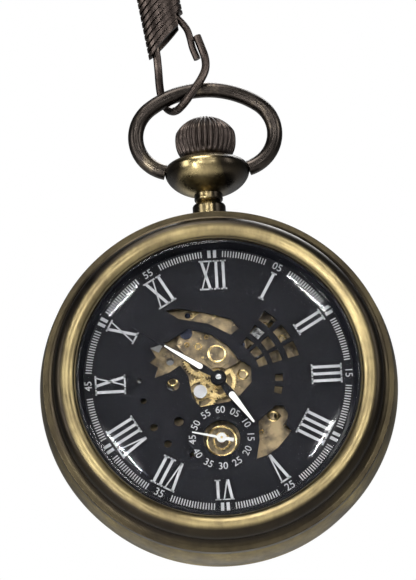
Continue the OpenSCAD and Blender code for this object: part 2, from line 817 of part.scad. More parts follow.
// Flat plate between two heights, cut by the movement's edge
module plate(z0, z1) {
    intersection() {
        translate([0, 0, z0]) linear_extrude(z1 - z0) children();
        disc(movement_r, z0 - 1, z1 + 1);
    }
}

module jewel_seats(points, z0, z1) {
    for (p = points) at(p, z0 - 1) cylinder(r = jewel_r, h = z1 - z0 + 2, $fn = 48);
}

module main_plate() {
    color(gold) hung() difference() {
        disc(movement_r, plate_back, plate_front);
        for (p = front_jewels) {
            at(p, plate_back - 1) cylinder(r = jewel_r, h = 1 + jewel_t, $fn = 48);
            at(p, 0) cylinder(r = pivot_r + 0.15, h = 4, $fn = 32);
        }
        at(centre_at) cylinder(r = 0.45 + fit, h = 4, $fn = 48);
        at(barrel_at) cylinder(r = 0.8 + fit, h = 4, $fn = 48);
        at(minute_at) cylinder(r = 0.35, h = 4, $fn = 32);
        at(intermediate_at) cylinder(r = 0.35, h = 4, $fn = 32);
        at(setting_at) cylinder(r = 0.35, h = 4, $fn = 32);
        at(setting_lever_at) cylinder(r = 0.4, h = 4, $fn = 32);
        for (p = dial_feet) at(p) cylinder(r = 0.4 + fit, h = 4, $fn = 32);
        for (p = concat(barrel_screws, train_screws, [balance_screw, pallet_screw])) screw_hole(p, 0, 4);
        for (p = concat(cover_screws, case_screw_at)) screw_hole(p, 0, 4);
        plate_windows();
    }
}

// Windows pierced through the main plate
module plate_windows() {
    for (r = tile_rows) at([0, 0], plate_back) sector_window(r[0] + 0.2, r[1] - 0.1, 42, 49);
    translate([0, 0, plate_back]) sector_window(10.2, 14.4, 96, 128);
    translate([0, 0, plate_back]) sector_window(11.5, 15, 160, 186);
    translate([0, 0, plate_back]) sector_window(8.8, 11.3, 300, 326);
    translate([0, 0, plate_back]) sector_window(12.8, 15.3, 300, 343);
    translate([0, 0, plate_back]) sector_window(12.8, 15.3, 24, 62);
    at([7.4, -5], plate_back - 1) cylinder(r = 0.45, h = 3, $fn = 32);
    at([-6.2, 3.1], plate_back - 1) cylinder(r = 0.5, h = 3, $fn = 32);
    at(balance_at + [-1.6, 2.6], plate_back - 1) cylinder(r = 1.2, h = 3, $fn = 32);
    at(balance_at + [2.9, 1.4], plate_back - 1) cylinder(r = 0.9, h = 3, $fn = 32);
}

// Thin bridge over the setting wheels, under the dial
module minute_train_bridge() {
    z = minute_bridge_z;
    ring_at = [0, 3.4];
    color(gold) hung() difference() {
        union() {
            translate([0, 0, z[0]]) linear_extrude(z[1] - z[0]) difference() {
                polygon([[-5.2, 5], [-4.6, 7.2], [-1.5, 9.6], [1.3, 9.6], [3.7, 6.6], [3.9, 3.9], [2.6, 2.2],
                         [1.2, 1.5], [-1.2, 1.5], [-3.1, 2.2]]);
                circle(1.75);
            }
            for (p = cover_screws) at(p, plate_front) cylinder(r = 0.9, h = z[1] - plate_front, $fn = 32);
            at(ring_at) disc(1.7, z[0], z[1] + 0.12, 1.35);
            at(ring_at) disc(1.4, z[0], z[1]);
        }
        for (p = cover_screws) screw_hole(p, 0, 6);
        for (p = [intermediate_at, setting_at]) at(p) cylinder(r = pivot_r + fit, h = 6, $fn = 32);
    }
}

// Area of the barrel bridge, kept off the middle of the train bridge
module barrel_area(grow) {
    difference() {
        union() {
            translate(barrel_at) circle(barrel_bridge_r + grow);
            bar(barrel_screws[2], [5, 14], 2.2, 4);
        }
        translate([-20, -20]) square([40, 17.5 - grow]);
        bar([0, 0], [0, -4], 2.1 - grow, 2.1 - grow);
    }
}

// Round feet that hold a bridge off the main plate
module pillars(points) {
    for (p = points) at(p, bridge_front - eps) cylinder(r = pillar_r, h = plate_back - bridge_front + eps, $fn = 32);
}

module barrel_bridge() {
    recess = [2.75, -1.25];
    color(gold) hung() difference() {
        union() {
            difference() {
                plate(bridge_back, bridge_front) barrel_area(0);
                at(crown_wheel_at, -5) cylinder(r = recess[0], h = 5 + recess[1]);
            }
            pillars(barrel_screws);
            at(crown_wheel_at) disc(crown_post_r, bridge_back - 0.65, recess[1] + 0.1);
        }
        at(barrel_at, -5) cylinder(r = 0.8 + fit, h = 10, $fn = 48);
        at(crown_wheel_at, -5) cylinder(r = screw_r, h = 3.6, $fn = 32);
        translate([-1.9, 13.6, -5]) cube([3.8, 4, 10]);
        translate([-1.2, 11, -1]) cube([2.4, 3, 2]);
        for (p = concat(barrel_screws, [click_at, click_spring_at])) screw_hole(p, -5, 4);
    }
}

module train_bridge() {
    color(gold) hung() difference() {
        union() {
            plate(bridge_back, bridge_front) difference() {
                union() {
                    circle(1.9);
                    bar([0, 0], fourth_at, 1.5, 1.5);
                    bar(fourth_at, third_at, 2, 3.2);
                    bar(third_at, train_screws[0], 3.2, 2.6);
                    bar(fourth_at, train_screws[1], 2, 2.4);
                    bar(escape_at, train_screws[1], 1.3, 2);
                }
                barrel_area(0.1);
            }
            pillars(train_screws);
        }
        jewel_seats(train_jewels, bridge_back, bridge_front);
        at(centre_at, -5) cylinder(r = 0.4 + fit, h = 10, $fn = 32);
        for (p = train_screws) screw_hole(p, -5, 4);
    }
}

module balance_cock() {
    color(gold) hung() difference() {
        union() {
            plate(bridge_back, bridge_front) bar(balance_screw, balance_at, 2, 1.9);
            pillars([balance_screw - [0.7, 0]]);
            at(balance_at) disc(regulator_boss_r, bridge_back - 0.25, bridge_back + 0.1);
        }
        jewel_seats([balance_at], bridge_back - 1, bridge_front);
        screw_hole(balance_screw, -5, 4);
    }
}

module pallet_cock() {
    z = pallet_cock_z;
    color(gold) hung() difference() {
        union() {
            translate([0, 0, z[0]]) linear_extrude(z[1] - z[0]) bar(pallet_screw, fork_at, 1.5, 0.8);
            at(pallet_screw, z[0]) cylinder(r = pillar_r, h = plate_back - z[0], $fn = 32);
        }
        at(fork_at, 0) cylinder(r = pivot_r + fit, h = 2, $fn = 32);
        screw_hole(pallet_screw, -1, 3);
    }
}

module bridge_screws() {
    color(blued) hung() {
        for (p = concat(barrel_screws, train_screws, [balance_screw])) {
            screw(p, bridge_back - screw_head_h, bridge_screw_l, -1);
        }
        screw(pallet_screw, pallet_cock_z[0] - screw_head_h, 2.9, -1);
        screw(setting_lever_at, setting_lever_z[0] - screw_head_h, 1.8, -1);
        screw(crown_wheel_at, bridge_back - 0.65 - screw_head_h, 1.6, -1, crown_screw_head_r);
        screw(click_at, click_z[0] - screw_head_h, 1.9, -1);
        screw(click_spring_at, click_spring_z[0] - screw_head_h, 1.7, -1);
        for (p = cover_screws) screw(p, minute_bridge_z[1] + cover_head_h, 1.9, 1, screw_head_r, cover_head_h);
    }
}

module jewels() {
    color(ruby) hung() {
        for (p = front_jewels) at(p) disc(jewel_r, plate_back, plate_back + jewel_t, pivot_r + fit);
        for (p = concat(train_jewels, [balance_at])) {
            at(p) disc(jewel_r, bridge_front - jewel_t, bridge_front, pivot_r + fit);
        }
    }
}

// ---- Going train ----

barrel_z = [-0.45, 1.2];

module barrel() {
    z0 = barrel_z[0];
    z1 = barrel_z[1];
    drum_r = barrel_n * barrel_mod / 2 - 0.6;
    color(brass) hung() at(barrel_at) difference() {
        union() {
            gear(barrel_n, barrel_mod, z1 - 0.5, z1, barrel_turn);
            disc(drum_r, z0, z1 - 0.3);
        }
        disc(drum_r - 0.4, z0 + 0.25, z1 - 0.25);
        disc(0.8 + fit, z0 - 1, z1 + 1);
    }
}

module barrel_arbor() {
    color(steel) hung() at(barrel_at) union() {
        disc(0.8, bridge_back, plate_back + 0.9);
        disc(1.6, barrel_z[0] + 0.3, barrel_z[1] - 0.3);
        translate([-0.5, -0.5, bridge_back - 0.65]) cube([1, 1, 0.7]);
    }
}

// Outline of a flat ribbon of thickness t coiled between two radii
module spiral(r0, r1, turns, t, points) {
    function edge(i, side) = polar(r0 + (r1 - r0) * i / points + side, turns * 360 * i / points);
    polygon(concat([for (i = [0 : points]) edge(i, 0)], [for (i = [points : -1 : 0]) edge(i, t)]));
}

module mainspring() {
    color(steel) hung() at(barrel_at, barrel_z[0] + 0.35) linear_extrude(barrel_z[1] - barrel_z[0] - 0.7)
        spiral(2.2, 5.95, 8, 0.15, 160);
}

module centre_wheel() {
    color(brass) hung() union() {
        spoked_gear(centre_n, centre_mod, 1.4, 1.65, centre_turn, 1.5, 0.7);
        gear(centre_pinion_n, barrel_mod, barrel_z[1] - 0.6, 1.4, centre_turn);
        disc(0.6, bridge_front + 0.05, barrel_z[1] - 0.6);
        disc(0.4, bridge_back + 0.3, bridge_front + 0.05);
        disc(0.45, 1.65, 3.1);
    }
}

module third_wheel() {
    color(brass) hung() at(third_at) union() {
        spoked_gear(third_n, third_mod, -0.82, -0.62, third_leaf_turn, 1, 0.6);
        gear(leaf_n, centre_mod, 1.25, 1.8, third_leaf_turn);
        arbor(0.35);
    }
}

module fourth_wheel() {
    color(brass) hung() at(fourth_at) union() {
        spoked_gear(fourth_n, fourth_mod, 0.35, 0.55, fourth_leaf_turn, 0.9, 0.5);
        gear(leaf_n, third_mod, -0.83, -0.4, fourth_leaf_turn);
        arbor(0.3);
        disc(pivot_r, plate_back, seconds_z + 0.3);
    }
}

// Escape wheel: 15 hooked teeth that lean forward
module escape_wheel() {
    root = 1.75;
    step = 360 / escape_n;
    color(steel) hung() at(escape_at) union() {
        translate([0, 0, 0.85]) difference() {
            linear_extrude(0.2) polygon([for (i = [0 : escape_n - 1]) each [
                polar(root, i * step), polar(escape_r - 0.1, (i + 0.42) * step),
                polar(escape_r - 0.1, (i + 0.55) * step), polar(root, (i + 0.35) * step)
            ]]);
            for (i = [0 : 3]) rotate(i * 90 + 10) translate([0, 0, -1]) rotate_extrude(angle = 70)
                translate([0.55, 0]) square([0.85, 3]);
        }
        gear(escape_leaf_n, fourth_mod, 0.2, 0.85, escape_leaf_turn);
        arbor(0.22);
    }
}

// Pallet fork: two arms that span the escape wheel, and a forked lever to the balance
module pallet_fork() {
    reach = norm(balance_at - fork_at) - 1.15;
    color(steel) hung() at(fork_at) rotate(fork_line) union() {
        translate([0, 0, 0.85]) linear_extrude(0.2) {
            bar([0, 0], [reach, 0], 0.35, 0.22);
            for (s = [-1, 1]) {
                bar([0, 0], [-0.5, s * 1.75], 0.3, 0.22);
                bar([reach - 0.1, s * 0.3], [reach + 0.3, s * 0.42], 0.14, 0.1);
                bar([reach - 0.1, 0], [reach - 0.1, s * 0.3], 0.14, 0.14);
            }
        }
        arbor(0.2, 0.6, plate_back);
        translate([0, 0, 0.35]) cylinder(r = pivot_r, h = 0.5);
    }
}

module balance_wheel() {
    rim_r = 4.8;
    color(brass) hung() at(balance_at) union() {
        disc(rim_r, -0.3, 0.3, rim_r - 0.55);
        translate([0, 0, -0.2]) linear_extrude(0.2) {
            for (i = [0, 1]) rotate(i * 90 + 20) translate([-rim_r + 0.3, -0.3]) square([2 * rim_r - 0.6, 0.6]);
            circle(1, $fn = 32);
        }
        for (i = [0 : 11]) rotate(i * 30 + 5) translate([rim_r - 0.05, 0, 0]) rotate([0, 90, 0]) {
            cylinder(r = 0.2, h = 0.3, $fn = 24);
        }
        arbor(0.3);
        disc(1, 0.45, 0.6);
        at(polar(0.75, fork_line + 180), 0.6) cylinder(r = 0.14, h = 0.2, $fn = 24);
    }
}

module hairspring() {
    color(blued) hung() at(balance_at, -0.7) {
        linear_extrude(0.25) spiral(0.6, 2.4, 5, 0.06, 100);
        disc(0.62, 0, 0.25, 0.3);
    }
}

// Regulator: a split-tailed ring round the balance cock's boss, with a long pointer
module regulator() {
    color(steel) hung() at(balance_at, bridge_back - 0.22) difference() {
        linear_extrude(0.2) {
            circle(1.5);
            rotate(60) bar([1.2, 0], [3.6, 0], 0.35, 0.12);
            rotate(-150) bar([1.2, 0], [2.2, 0], 0.3, 0.2);
        }
        translate([0, 0, -1]) cylinder(r = regulator_boss_r + fit, h = 3);
    }
}

// ---- Motion work ----

module cannon_pinion() {
    color(steel) hung() union() {
        gear(cannon_n, minute_mod, 3.1, 3.42, centre_turn);
        disc(0.35, 3.42, minute_z + hand_t + 0.25);
    }
}

module minute_wheel() {
    color(brass) hung() at(minute_at) union() {
        spoked_gear(minute_n, minute_mod, 3.12, 3.38, minute_turn, 0.9, 0.4, 4);
        gear(minute_leaf_n, hour_mod, 3.38, 3.72, minute_turn);
        disc(0.3, 2, 4.5);
    }
}

// White cap on the minute wheel's post, seen through the dial
module post_cap() {
    color(ivory) hung() at(minute_at) disc(0.87, 4.5, 4.8);
}

module hour_wheel() {
    color(brass) hung() difference() {
        union() {
            spoked_gear(hour_n, hour_mod, 3.46, 3.7, hour_turn, 1.1, 0.4, 4);
            disc(0.62, 3.46, hour_z + hand_t + 0.1);
        }
        disc(0.35 + fit, 3, 7);
    }
}

module intermediate_wheel() {
    color(brass) hung() at(intermediate_at) union() {
        spoked_gear(intermediate_n, minute_mod, 3.12, 3.38, intermediate_turn, 0.8, 0.5, 4);
        disc(0.3, 2, 3.7);
        disc(pivot_r, 3.7, 4.05);
    }
}

module setting_wheel() {
    color(brass) hung() at(setting_at) union() {
        spoked_gear(setting_n, minute_mod, 3.12, 3.38, setting_turn, 0.9, 0.5, 5);
        disc(0.3, 2, 3.7);
        disc(pivot_r, 3.7, 4.05);
    }
}

clasp_eye();
clasp_cap();
clasp_hook();
clasp_latch();
bow();
pendant();
mid_case();
bezel();
crystal();
crystal_gasket();
back_cover();
back_glass();
movement_ring();
case_screws();
rehaut_ring();
dial();
crown();
crown_gasket();
winding_stem();
stem_collar();
setting_lever();
sliding_pinion();
winding_pinion();
crown_wheel();
ratchet_wheel();
click();
click_spring();
main_plate();
minute_train_bridge();
barrel_bridge();
train_bridge();
balance_cock();
pallet_cock();
bridge_screws();
jewels();
barrel();
barrel_arbor();
mainspring();
centre_wheel();
third_wheel();
fourth_wheel();
escape_wheel();
pallet_fork();
balance_wheel();
hairspring();
regulator();
cannon_pinion();
minute_wheel();
post_cap();
hour_wheel();
intermediate_wheel();
setting_wheel();
hour_hand();
minute_hand();
hour_lume();
minute_lume();
seconds_hand();
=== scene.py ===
"""Looks of the pocket watch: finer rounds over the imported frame, dial print, materials and stage."""
import json
import math

import bmesh
import bpy
from mathutils import Matrix, Vector

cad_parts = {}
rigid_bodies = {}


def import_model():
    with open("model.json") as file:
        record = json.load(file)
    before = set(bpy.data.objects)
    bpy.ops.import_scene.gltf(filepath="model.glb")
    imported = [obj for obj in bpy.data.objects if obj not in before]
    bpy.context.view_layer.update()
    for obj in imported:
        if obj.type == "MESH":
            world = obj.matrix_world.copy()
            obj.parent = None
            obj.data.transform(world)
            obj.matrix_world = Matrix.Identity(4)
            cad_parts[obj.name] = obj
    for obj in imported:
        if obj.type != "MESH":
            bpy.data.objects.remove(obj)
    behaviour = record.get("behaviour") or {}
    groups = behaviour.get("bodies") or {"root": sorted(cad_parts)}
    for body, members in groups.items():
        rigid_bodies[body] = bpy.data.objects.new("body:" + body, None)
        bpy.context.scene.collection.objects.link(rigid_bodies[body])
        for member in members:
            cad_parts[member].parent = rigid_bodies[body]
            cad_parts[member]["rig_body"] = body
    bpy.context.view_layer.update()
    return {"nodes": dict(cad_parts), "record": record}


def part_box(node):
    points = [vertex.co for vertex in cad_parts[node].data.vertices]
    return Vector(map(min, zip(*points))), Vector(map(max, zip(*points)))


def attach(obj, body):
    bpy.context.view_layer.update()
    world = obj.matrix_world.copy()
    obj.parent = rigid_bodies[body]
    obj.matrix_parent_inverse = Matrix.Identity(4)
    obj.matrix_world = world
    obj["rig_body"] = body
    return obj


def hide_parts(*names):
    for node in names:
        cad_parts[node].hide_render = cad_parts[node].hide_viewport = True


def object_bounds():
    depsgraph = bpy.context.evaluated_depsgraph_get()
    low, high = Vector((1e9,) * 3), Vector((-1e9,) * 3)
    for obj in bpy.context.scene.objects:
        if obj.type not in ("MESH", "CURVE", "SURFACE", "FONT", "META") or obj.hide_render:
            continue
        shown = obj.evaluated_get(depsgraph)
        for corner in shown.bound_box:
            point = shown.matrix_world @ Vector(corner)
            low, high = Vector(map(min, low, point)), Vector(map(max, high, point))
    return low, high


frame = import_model()
NODES = frame["nodes"]
MM = 0.001
SEGMENTS = 256


# ---- Places, from the frame ----

def middle(node):
    low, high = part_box(node)
    return (low + high) / 2


CASE_MIDDLE = middle("mid_case")
CASE_LOW, CASE_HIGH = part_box("mid_case")
CASE_R = (CASE_HIGH.x - CASE_LOW.x) / 2 / MM
DIAL_Z = (CASE_MIDDLE.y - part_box("dial")[0].y) / MM


def watch_point(x, y, z):
    """Point of the watch plane, in mm from the middle of the case: x right, y up, z towards the viewer."""
    return CASE_MIDDLE + Vector((x, -z, y)) * MM


def watch_plane(node):
    """A node's middle on the watch plane, as (x, y) in mm."""
    offset = (middle(node) - CASE_MIDDLE) / MM
    return offset.x, offset.z


# ---- Node materials ----

class Nodes:
    """A material's node tree, with short names for what is used here."""

    def __init__(self, name):
        self.material = bpy.data.materials.new(name)
        self.material.use_nodes = True
        self.tree = self.material.node_tree
        self.shader = self.tree.nodes["Principled BSDF"]

    def add(self, kind, inputs=(), **settings):
        node = self.tree.nodes.new(kind)
        for key, value in settings.items():
            setattr(node, key, value)
        for key, value in dict(inputs).items():
            if isinstance(value, bpy.types.NodeSocket):
                self.tree.links.new(value, node.inputs[key])
            else:
                node.inputs[key].default_value = value
        return node

    def link(self, out, socket):
        self.tree.links.new(out, self.shader.inputs[socket])

    def math(self, operation, a, b=0.0):
        return self.add("ShaderNodeMath", {0: a, 1: b}, operation=operation).outputs[0]

    def place(self):
        return self.add("ShaderNodeTexCoord").outputs["Object"]

    def noise(self, scale, detail=4.0, vector=None, roughness=0.55):
        inputs = {"Scale": scale, "Detail": detail, "Roughness": roughness}
        inputs["Vector"] = self.place() if vector is None else vector
        return self.add("ShaderNodeTexNoise", inputs).outputs["Fac"]

    def ramp(self, value, stops):
        node = self.add("ShaderNodeValToRGB", {"Fac": value})
        elements = node.color_ramp.elements
        while len(elements) < len(stops):
            elements.new(0.5)
        for element, (position, colour) in zip(elements, stops):
            element.position = position
            element.color = (*colour, 1) if len(colour) == 3 else colour
        return node.outputs["Color"]

    def grey(self, value, *stops):
        return self.ramp(value, [(p, (v, v, v)) for p, v in stops])

    def mix(self, fac, a, b):
        node = self.add("ShaderNodeMix", data_type="RGBA")
        for socket, value in ((0, fac), (6, a), (7, b)):
            if isinstance(value, bpy.types.NodeSocket):
                self.tree.links.new(value, node.inputs[socket])
            else:
                node.inputs[socket].default_value = value if socket == 0 else (*value, 1)
        return node.outputs[2]

    def stretched(self, x, y, z):
        node = self.add("ShaderNodeMapping", {"Vector": self.place()})
        node.inputs["Scale"].default_value = (x, y, z)
        return node.outputs["Vector"]

    def bump(self, height, strength, distance):
        node = self.add("ShaderNodeBump", {"Height": height, "Strength": strength, "Distance": distance})
        self.link(node.outputs["Normal"], "Normal")

    def facing(self, axis):
        """How far the surface looks along a world axis, from -1 to 1."""
        normal = self.add("ShaderNodeNewGeometry").outputs["Normal"]
        return self.add("ShaderNodeSeparateXYZ", {0: normal}).outputs[axis]

    def radius(self):
        """Distance from the watch's axis, in mm."""
        place = self.add("ShaderNodeMapping", {"Vector": self.place()})
        place.inputs["Location"].default_value = -CASE_MIDDLE
        split = self.add("ShaderNodeSeparateXYZ", {0: place.outputs["Vector"]})
        flat = self.add("ShaderNodeCombineXYZ", {"X": split.outputs["X"], "Z": split.outputs["Z"]})
        length = self.add("ShaderNodeVectorMath", {0: flat.outputs[0]}, operation="LENGTH")
        return self.math("MULTIPLY", length.outputs["Value"], 1 / MM)

    def finish(self, **values):
        for key, value in values.items():
            socket = self.shader.inputs[key.replace("_", " ")]
            socket.default_value = value
        return self.material


def antique(name, tones, wear, rough=0.3, rings=None, upward_shade=0.0, side_shade=0.0):
    """Antiqued brass, from the dark patina through olive to rubbed gold.

    wear is the noise level where it turns olive: the lower, the more gold. rings lists (distance from the
    watch's axis in mm, how much of the gold shows there), for painted light and shade by radius. The last
    two arguments are how dark the faces that look up, and those that look left and right, are painted:
    painted shade, set by how each face turns in the world."""
    n = Nodes(name)
    blotch = n.noise(150, 5)
    grain = n.noise(1500, 3, n.stretched(1, 1, 0.4))
    mask = n.math("ADD", n.math("MULTIPLY", blotch, 0.75), n.math("MULTIPLY", grain, 0.25))
    dark, olive, gold = tones
    colour = n.ramp(mask, [(wear - 0.28, dark), (wear, olive), (wear + 0.25, gold)])
    # Painted shade: faces that look up in the world are darkened towards the dark tone.
    if upward_shade:
        colour = n.mix(n.grey(n.facing("Z"), (0.0, 0.0), (0.25, upward_shade)), colour, dark)
    # Painted shade: faces that look to either side are darkened, a little more on the right.
    if side_shade:
        aside = n.math("ABSOLUTE", n.math("ADD", n.facing("X"), 0.15))
        colour = n.mix(n.grey(aside, (0.15, 0.0), (0.5, side_shade)), colour, dark)
    # Painted light and shade by distance from the axis: the dark tone where shade falls, gold where light
    # falls.
    if rings:
        reach = rings[-1][0]
        shown = n.grey(n.math("DIVIDE", n.radius(), reach), *[(r / reach, value) for r, value in rings])
        colour = n.mix(shown, dark, colour)
    n.link(colour, "Base Color")
    n.link(n.grey(n.noise(420, 3), (0.3, rough - 0.05), (0.7, rough + 0.1)), "Roughness")
    n.bump(n.noise(5200, 2), 0.08, 0.00004)
    return n.finish(Metallic=1.0)


def brushed(name, colour, shade, rough=0.3, along=(1, 1, 24)):
    """Cut metal with fine straight brush lines."""
    n = Nodes(name)
    lines = n.noise(2600, 3, n.stretched(*along))
    cloud = n.noise(240, 3)
    n.link(n.mix(n.grey(cloud, (0.35, 0.0), (0.7, 1.0)), colour, shade), "Base Color")
    n.link(n.grey(lines, (0.3, rough - 0.08), (0.7, rough + 0.1)), "Roughness")
    n.bump(lines, 0.25, 0.00003)
    return n.finish(Metallic=1.0)


def gilded(name, bright, dull):
    """Gilt movement plates: satin and cloudy, with small painted glints."""
    n = Nodes(name)
    plate = n.mix(n.grey(n.noise(520, 5), (0.4, 0.0), (0.62, 1.0)), dull, bright)
    # Painted glints: small spots of the base colour made half again as bright.
    glint_flecks = n.grey(n.noise(1300, 3), (0.64, 0.0), (0.7, 1.0))
    n.link(n.mix(glint_flecks, plate, tuple(min(1, 1.5 * c) for c in bright)), "Base Color")
    n.link(n.grey(n.noise(900, 3), (0.3, 0.3), (0.7, 0.5)), "Roughness")
    n.bump(n.noise(2600, 2), 0.4, 0.00005)
    return n.finish(Metallic=0.9)


def satin(name, colour, shade, rough, grain=3000, bump=0.1, gloss=0.5):
    """Paint, rubber or print: faint clouding and a fine grain."""
    n = Nodes(name)
    n.link(n.mix(n.grey(n.noise(300, 4), (0.35, 0.0), (0.65, 1.0)), colour, shade), "Base Color")
    n.link(n.grey(n.noise(700, 3), (0.3, rough - 0.05), (0.7, rough + 0.07)), "Roughness")
    n.bump(n.noise(grain, 2), bump, 0.00002)
    return n.finish(Specular_IOR_Level=gloss)


def clear(name, tint):
    """Glass that the lights shine through: it is clear to shadow rays."""
    n = Nodes(name)
    smear = n.noise(120, 4)
    n.link(n.mix(smear, tint, tuple(min(1, c * 1.01) for c in tint)), "Base Color")
    shadow = n.add("ShaderNodeLightPath").outputs["Is Shadow Ray"]
    see_through = n.add("ShaderNodeBsdfTransparent").outputs[0]
    both = n.add("ShaderNodeMixShader", {0: shadow, 1: n.shader.outputs[0], 2: see_through}).outputs[0]
    n.tree.links.new(both, n.tree.nodes["Material Output"].inputs["Surface"])
    return n.finish(Transmission_Weight=1.0, Roughness=0.025, IOR=1.17)


CASE_TONES = [(0.02, 0.017, 0.014), (0.15, 0.118, 0.054), (0.36, 0.29, 0.125)]
GOLD_TONES = [(0.012, 0.01, 0.009), (0.2, 0.157, 0.082), (0.4, 0.32, 0.155)]
BOW_TONES = [(0.01, 0.009, 0.008), (0.036, 0.03, 0.026), (0.22, 0.18, 0.125)]
DARK_TONES = [(0.018, 0.014, 0.013), (0.048, 0.038, 0.033), (0.17, 0.135, 0.105)]
BLACK_SHADES = [(0.002, 0.0021, 0.0034), (0.0028, 0.003, 0.0046)]
# Painted light and shade on the bezel: shade at the inner lip, a painted gold highlight on the inner half
# of the rounded front, and shade on its outer slope, in the hollow and at the outer edge.
BEZEL_LIGHT_RINGS = [
    (18.4, 0.05), (18.9, 0.4), (19.4, 1), (20, 1),
    (20.6, 0.04), (21.7, 0.03), (22.3, 0.14), (24, 0.2),
]

MATERIALS = {
    # Painted shade: the case and the bezel are darker on faces that look up, and the pendant on faces that
    # look to the sides.
    "antique_bronze": antique("antique_bronze", CASE_TONES, 0.5, 0.34, upward_shade=0.92),
    "bezel_bronze": antique("bezel_bronze", GOLD_TONES, 0.4, 0.33, BEZEL_LIGHT_RINGS, upward_shade=0.35),
    "pendant_bronze": antique("pendant_bronze", GOLD_TONES, 0.45, 0.26, side_shade=0.95),
    "bow_bronze": antique("bow_bronze", BOW_TONES, 0.55, 0.3),
    "dark_bronze": antique("dark_bronze", DARK_TONES, 0.52, 0.34),
    "gilt": gilded("gilt", (0.19, 0.145, 0.084), (0.045, 0.036, 0.026)),
    "gilt_bridges": gilded("gilt_bridges", (0.56, 0.44, 0.25), (0.27, 0.21, 0.125)),
    "brass": brushed("brass", (0.66, 0.5, 0.24), (0.5, 0.37, 0.17), 0.26),
    "steel": brushed("steel", (0.6, 0.6, 0.6), (0.45, 0.45, 0.46), 0.24),
    "blued_steel": brushed("blued_steel", (0.045, 0.05, 0.075), (0.03, 0.032, 0.045), 0.22),
    "ruby": satin("ruby", (0.35, 0.01, 0.05), (0.25, 0.005, 0.03), 0.08),
    "black_paint": satin("black_paint", *BLACK_SHADES, 0.5, 1200, 0.0, 0.06),
    "gasket_rubber": satin("gasket_rubber", (0.02, 0.02, 0.02), (0.03, 0.03, 0.03), 0.6),
    "ivory_lume": satin("ivory_lume", (0.52, 0.51, 0.49), (0.47, 0.46, 0.43), 0.6),
    "hand_white": satin("hand_white", (0.36, 0.36, 0.35), (0.32, 0.32, 0.32), 0.5),
    "dial_print": satin("dial_print", (0.27, 0.27, 0.28), (0.23, 0.23, 0.24), 0.5, 1200, 0.0, 0.1),
    "glass": clear("glass", (0.98, 0.99, 0.99)),
}
for part in frame["record"]["subparts"]:
    mesh = NODES[part["node"]].data
    mesh.materials.clear()
    mesh.materials.append(MATERIALS[part["material_slot"]])
NODES["seconds_hand"].data.materials[0] = MATERIALS["hand_white"]
NODES["post_cap"].data.materials[0] = MATERIALS["dial_print"]
for node in ("barrel_bridge", "train_bridge", "balance_cock", "pallet_cock"):
    NODES[node].data.materials[0] = MATERIALS["gilt_bridges"]


# ---- Pieces ----

def mesh_piece(name, verts, faces, material, body, slot, smooth=False):
    mesh = bpy.data.meshes.new(name)
    mesh.from_pydata(verts, [], faces)
    mesh.materials.append(MATERIALS[material])
    for polygon in mesh.polygons:
        polygon.use_smooth = smooth
    piece = bpy.data.objects.new(name, mesh)
    bpy.context.scene.collection.objects.link(piece)
    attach(piece, body)
    return piece


# ---- Finer rounds in place of the frame's faceted ones ----

def arc(cx, cy, r, start, end, steps=16):
    """Points of an arc from one angle to another, in degrees."""
    turn = [math.radians(start + (end - start) * i / steps) for i in range(steps + 1)]
    return [(cx + r * math.cos(a), cy + r * math.sin(a)) for a in turn]


def build(name, verts, faces, material, node, sharp=35):
    """Smooth closed mesh that stands for a CAD node."""
    slot = next(p["material_slot"] for p in frame["record"]["subparts"] if p["node"] == node)
    piece = mesh_piece(name, verts, faces, material, NODES[node]["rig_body"], slot, smooth=True)
    tidy = bmesh.new()
    tidy.from_mesh(piece.data)
    bmesh.ops.remove_doubles(tidy, verts=tidy.verts, dist=1e-7)
    bmesh.ops.recalc_face_normals(tidy, faces=tidy.faces)
    tidy.to_mesh(piece.data)
    tidy.free()
    piece.data.set_sharp_from_angle(angle=math.radians(sharp))
    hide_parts(node)
    return piece


def spin(outline, place, segments=SEGMENTS, flute=None):
    """Spins a closed outline of (radius, height); place(u, v, h) puts its points into the frame.

    flute(radius, height, turn) may move a point of the skin in."""
    verts, faces, count = [], [], len(outline)
    for i in range(segments):
        turn = 2 * math.pi * i / segments
        for r, h in outline:
            if flute:
                r = flute(r, h, turn)
            verts.append(place(r * math.cos(turn), r * math.sin(turn), h))
    for i in range(segments):
        k = (i + 1) % segments
        for j in range(count):
            m = (j + 1) % count
            faces.append((i * count + j, k * count + j, k * count + m, i * count + m))
    return verts, faces


def about_axis(u, v, h):
    return watch_point(u, v, h)


def about_stem(u, v, h):
    return watch_point(u, h, v)


def lathe(name, outline, material, node, place=about_axis, segments=SEGMENTS, flute=None):
    """Turned shape about the watch's axis, or about the stem's, that stands for a CAD node."""
    return build(name, *spin(outline, place, segments, flute), material, node)


def wire(path, radius, sides=48):
    """Round wire along a flat curve of (x, y) points of the watch plane, with flat ends."""
    verts, faces, last = [], [], len(path) - 1
    for i, (x, y) in enumerate(path):
        (x0, y0), (x1, y1) = path[max(i - 1, 0)], path[min(i + 1, last)]
        length = math.hypot(x1 - x0, y1 - y0)
        across = (-(y1 - y0) / length, (x1 - x0) / length)
        for k in range(sides):
            a = 2 * math.pi * k / sides
            out = radius * math.cos(a)
            verts.append(watch_point(x + out * across[0], y + out * across[1], radius * math.sin(a)))
    for i in range(last):
        for k in range(sides):
            m = (k + 1) % sides
            faces.append((i * sides + k, i * sides + m, (i + 1) * sides + m, (i + 1) * sides + k))
    faces.append(tuple(range(sides)))
    faces.append(tuple(last * sides + k for k in reversed(range(sides))))
    return verts, faces


def joined(parts):
    """One list of verts and one of faces from several (verts, faces)."""
    verts, faces = [], []
    for new_verts, new_faces in parts:
        faces += [[v + len(verts) for v in face] for face in new_faces]
        verts += new_verts
    return verts, faces


